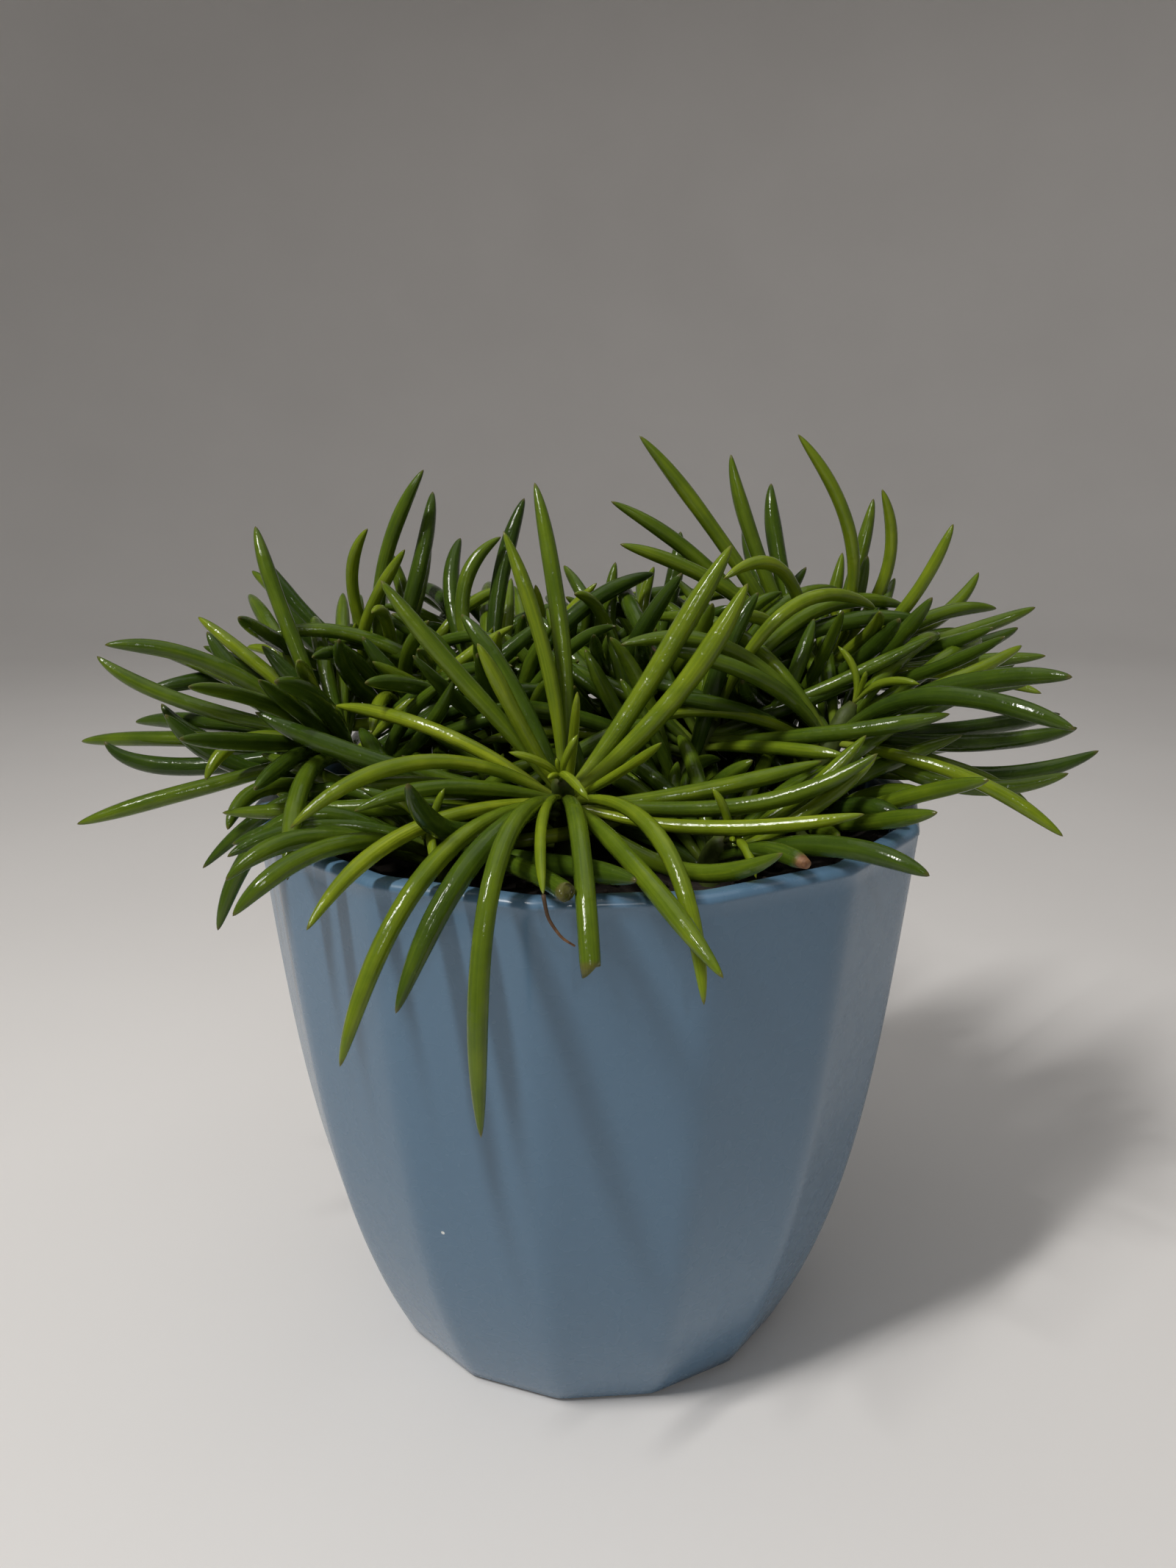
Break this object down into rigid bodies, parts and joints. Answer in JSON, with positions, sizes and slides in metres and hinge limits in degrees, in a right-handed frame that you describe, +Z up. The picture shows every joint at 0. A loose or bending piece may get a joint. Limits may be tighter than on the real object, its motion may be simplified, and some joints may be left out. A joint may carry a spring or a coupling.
{
  "type": "potted bush senecio",
  "caption": "Bush senecio: leafy stems with long, round succulent leaves, growing in soil in a faceted, glazed ceramic pot.",
  "frame": {"origin": "middle of the pot's flat base, on the surface that it stands on", "axes": "+Z up along the pot's axis, -Y towards the viewer of the picture, +X to the viewer's right"},
  "size_m": [0.2091, 0.1798, 0.184],
  "materials": {
    "glaze": "semi-gloss blue-grey glaze",
    "soil": "damp crumbly potting soil",
    "bright_leaf": "glossy yellow-green leaf skin",
    "dark_leaf": "glossy dark green leaf skin"
  },
  "bodies": {
    "root": {"pot": "glaze", "soil": "soil", "leafy_stem_front": "bright_leaf", "leafy_stem_front_left": "dark_leaf", "leafy_stem_front_right": "dark_leaf", "leafy_stem_left": "dark_leaf", "leafy_stem_back_left": "dark_leaf", "leafy_stem_middle_left": "dark_leaf", "leafy_stem_middle_back": "dark_leaf", "leafy_stem_middle_right": "dark_leaf", "leafy_stem_right": "dark_leaf", "leafy_stem_right_back": "bright_leaf", "leafy_stem_back": "dark_leaf", "leafy_stem_back_right": "dark_leaf"}
  },
  "joints": []
}
